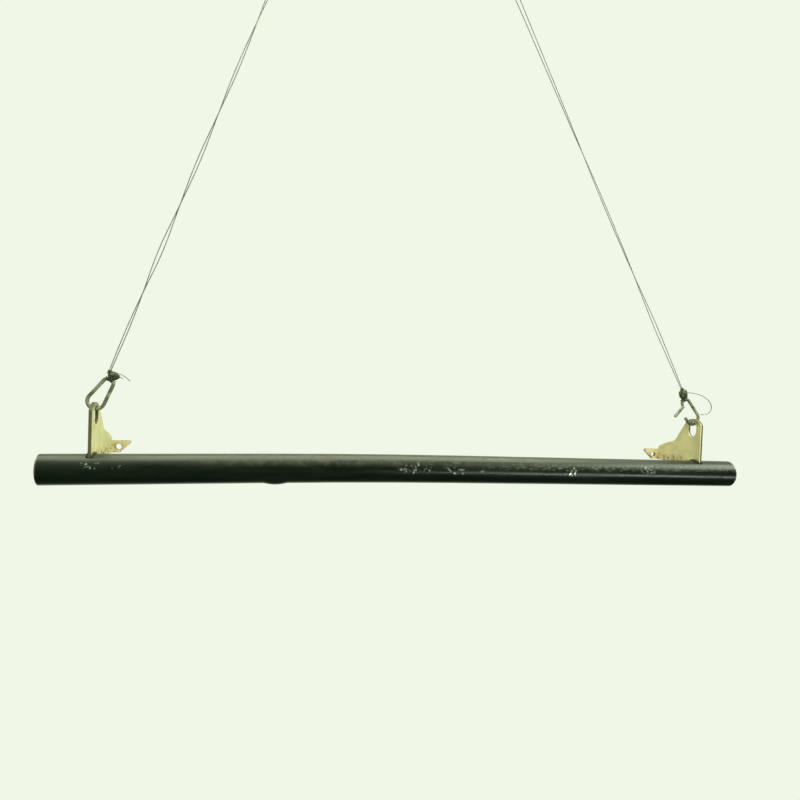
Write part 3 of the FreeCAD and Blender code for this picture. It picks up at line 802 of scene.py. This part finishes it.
def zinc_rod():
    """Zinc-plated rod, tarnished dark, with brighter rubbed patches."""
    paint = Paint("tarnished_zinc", metallic=0.55)
    clouds = paint.noise(90, 4, 0.55)
    grain = paint.noise(1200, 5, 0.7)
    drawn = paint.noise(700, 4, 0.6, paint.stretched((1, 1, 0.15)))
    base = paint.blend(paint.band(clouds, 0.40, 0.62), colour(0.20, 0.21, 0.13), colour(0.50, 0.51, 0.40))
    stains = paint.band(paint.noise(300, 6, 0.7), 0.62, 0.74)
    base = paint.blend(paint.calc("MULTIPLY", stains, 0.5), base,
                       colour(0.15, 0.095, 0.045))
    rough = paint.mixed(paint.band(clouds, 0.35, 0.65), 0.48, 0.27)
    rough = paint.calc("ADD", rough, paint.calc("MULTIPLY", grain, 0.10))
    drawn_bump = paint.bump(drawn, 0.10, 0.1 * MM)
    paint.set(base_color=base, roughness=rough, normal=paint.bump(clouds, 0.07, 0.35 * MM, drawn_bump))
    return paint.material


def spring_steel():
    """Bright hard steel with a faint oily film."""
    paint = Paint("spring_steel", metallic=1.0)
    film = paint.noise(600, 5, 0.6)
    base = paint.blend(paint.band(film, 0.4, 0.65), colour(0.33, 0.32, 0.29), colour(0.56, 0.56, 0.53))
    paint.set(base_color=base, roughness=paint.mixed(film, 0.2, 0.42),
              normal=paint.bump(paint.noise(1500, 4, 0.6), 0.08, 0.05 * MM))
    return paint.material


def binding_wire():
    """Dull drawn wire with light grey scale and a little rust."""
    paint = Paint("binding_wire", metallic=0.75)
    scale_marks = paint.noise(340, 6, 0.7)
    rust = paint.band(paint.noise(90, 6, 0.7), 0.60, 0.72)
    base = paint.blend(paint.band(scale_marks, 0.40, 0.62), colour(0.24, 0.26, 0.21),
                       colour(0.50, 0.53, 0.45))
    base = paint.blend(paint.calc("MULTIPLY", rust, 0.7), base, colour(0.16, 0.09, 0.045))
    paint.set(base_color=base, roughness=paint.mixed(scale_marks, 0.36, 0.66),
              normal=paint.bump(scale_marks, 0.25, 0.1 * MM))
    return paint.material


def knot_shade_wire():
    """The same wire in the knots, painted darker as shade among the close turns, with shadowed scale."""
    paint = Paint("wire_in_shaded_knots", metallic=0.7)
    scale_marks = paint.noise(420, 6, 0.7)
    base = paint.blend(paint.band(scale_marks, 0.42, 0.64), colour(0.07, 0.08, 0.045),
                       colour(0.36, 0.38, 0.27))
    paint.set(base_color=base, roughness=paint.mixed(scale_marks, 0.34, 0.6),
              normal=paint.bump(scale_marks, 0.3, 0.12 * MM))
    return paint.material


def eye_steel():
    """Zinc-plated steel with a slightly uneven plating."""
    paint = Paint("zinc_plated_eye", metallic=0.95)
    clouds = paint.noise(190, 5, 0.6)
    base = paint.blend(paint.band(clouds, 0.38, 0.64), colour(0.40, 0.40, 0.37), colour(0.62, 0.62, 0.58))
    paint.set(base_color=base, roughness=paint.mixed(clouds, 0.24, 0.45),
              normal=paint.bump(paint.noise(800, 4, 0.6), 0.12, 0.1 * MM))
    return paint.material


def weld_metal():
    """Rough bead with scale and rust, painted over in part."""
    paint = Paint("rusty_weld", metallic=0.15)
    clouds = paint.noise(230, 7, 0.7)
    painted = paint.band(paint.noise(120, 5, 0.6), 0.34, 0.46)
    base = paint.blend(paint.band(clouds, 0.38, 0.64), colour(0.05, 0.032, 0.016),
                       colour(0.20, 0.12, 0.05))
    base = paint.blend(painted, base, colour(0.022, 0.024, 0.018))
    paint.set(base_color=base, roughness=paint.mixed(painted, 0.85, 0.42),
              normal=paint.bump(clouds, 0.55, 0.35 * MM))
    return paint.material


def make_materials():
    """One material for each of the record's slots."""
    return {"black_paint": black_paint(), "passivated": passivated(), "weld": weld_metal(),
            "zinc_rod": zinc_rod(), "spring_steel": spring_steel(), "wire": binding_wire(),
            "eye_steel": eye_steel()}


def dress(piece, material):
    piece.data.materials.clear()
    piece.data.materials.append(material)


def dress_everything(pieces, knots):
    looks = make_materials()
    for subpart in frame["record"]["subparts"]:
        dress(frame["nodes"][subpart["node"]], looks[subpart["material_slot"]])
    for piece in pieces:
        dress(piece, looks[piece["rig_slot"]])
    # The knots take the wire look that is painted darker as shade.
    knot_shade_look = knot_shade_wire()
    for piece in knots:
        dress(piece, knot_shade_look)


# ---------------------------------------------------------------- stage and light

FLOOR_DROP = 1.7
FLOOR_R = 1.5


def make_floor():
    """A pale disc well below the bar, out of the main view and left out of reflections."""
    steps = 96
    low = BAR.z - FLOOR_DROP
    turns = [math.tau * i / steps for i in range(steps)]
    rim = [(BAR.x + FLOOR_R * math.cos(turn), FLOOR_R * math.sin(turn), low) for turn in turns]
    floor = new_mesh("floor", rim, [tuple(range(steps))], smooth=False)
    paint = Paint("pale_floor", roughness=0.8)
    tone = paint.blend(paint.noise(3, 3, 0.5), colour(0.72, 0.67, 0.69), colour(0.76, 0.71, 0.73))
    paint.set(base_color=tone)
    dress(floor, paint.material)
    floor.visible_glossy = False


def make_world():
    """A pale room, bright overhead and behind the bar, dim behind the person looking at it.

    The bright part overhead reaches lower on the right. What the camera sees is plain and pale.
    """
    dim, bright, backdrop = colour(0.015, 0.05, 0.02), colour(0.92, 1.05, 0.70), colour(0.87, 0.93, 0.80)
    lean_to_right = 0.30
    world = bpy.data.worlds.new("pale_room")
    bpy.context.scene.world = world
    world.use_nodes = True
    tree = world.node_tree
    add = tree.nodes.new
    join = tree.links.new
    direction = add("ShaderNodeTexCoord").outputs["Generated"]
    apart = add("ShaderNodeSeparateXYZ")
    join(direction, apart.inputs[0])

    def smooth(value, low, high):
        made = add("ShaderNodeMapRange")
        made.interpolation_type = "SMOOTHSTEP"
        join(value, made.inputs["Value"])
        made.inputs["From Min"].default_value = low
        made.inputs["From Max"].default_value = high
        return made.outputs[0]

    sideways = add("ShaderNodeMath")
    sideways.operation = "MULTIPLY_ADD"
    join(apart.outputs["X"], sideways.inputs[0])
    sideways.inputs[1].default_value = lean_to_right
    join(apart.outputs["Z"], sideways.inputs[2])
    overhead = smooth(sideways.outputs[0], 0.46, 0.88)
    behind = smooth(apart.outputs["Y"], 0.35, 0.85)
    lit = add("ShaderNodeMath")
    lit.operation = "MAXIMUM"
    join(overhead, lit.inputs[0])
    join(behind, lit.inputs[1])
    room = add("ShaderNodeMix")
    room.data_type = "RGBA"
    join(lit.outputs[0], room.inputs[0])
    room.inputs[6].default_value = dim
    room.inputs[7].default_value = bright
    seen = add("ShaderNodeMix")
    seen.data_type = "RGBA"
    join(add("ShaderNodeLightPath").outputs["Is Camera Ray"], seen.inputs[0])
    join(room.outputs[2], seen.inputs[6])
    seen.inputs[7].default_value = backdrop
    join(seen.outputs[2], tree.nodes["Background"].inputs["Color"])
    tree.nodes["Background"].inputs["Strength"].default_value = 1.0


def area_light(name, place, target, size, power, tint):
    data = bpy.data.lights.new(name, "AREA")
    data.shape = "RECTANGLE"
    data.size, data.size_y = size
    data.energy = power
    data.color = tint
    light = bpy.data.objects.new(name, data)
    bpy.context.scene.collection.objects.link(light)
    aim = (target - place).to_track_quat("-Z", "Y").to_matrix().to_4x4()
    light.matrix_world = Matrix.Translation(place) @ aim
    light.visible_camera = False
    return light


# Each light's place and target from the middle of the bar, its size, power and tint.
LIGHTS = {
    "overhead_light": ((0, 0.35, 1.9), (0, 0, 0), (2.6, 1.6), 44, (0.92, 1.0, 0.76)),
    "window_strip": ((1.0, -1.3, -0.52), (0.2, 0, 0), (1.1, 0.16), 5.0, (0.88, 1.0, 0.86)),
    "right_window": ((1.4, -0.4, 1.05), (0.4, 0, 0), (1.0, 0.7), 10, (0.90, 1.0, 0.84)),
    "fill_light": ((-0.2, -1.5, 0.7), (0, 0, 0), (1.6, 1.0), 26, (1.0, 0.98, 0.78)),
}


def make_lights():
    """The overhead light and two windows are mirrored in the tube; the fill light isn't."""
    for name, (place, target, size, power, tint) in LIGHTS.items():
        light = area_light(name, BAR + Vector(place), BAR + Vector(target), size, power, tint)
        light.visible_glossy = name != "fill_light"


# ---------------------------------------------------------------- everything

make_camera()
suspension = make_cords()
bar_pieces = [make_kink()] + [make_weld(side) for side in SIDES]
eyes = [make_eye(side) for side in SIDES]
wires = [bpy.data.objects[f"{side}_doubled_wire"] for side in SIDES]
knot_pieces = [bpy.data.objects[f"{side}_knot_winding"] for side in SIDES]
dress_everything(suspension + wires + bar_pieces + eyes, knot_pieces)
make_floor()
make_world()
make_lights()
bpy.context.scene.view_settings.view_transform = "Standard"

bpy.context.view_layer.update()
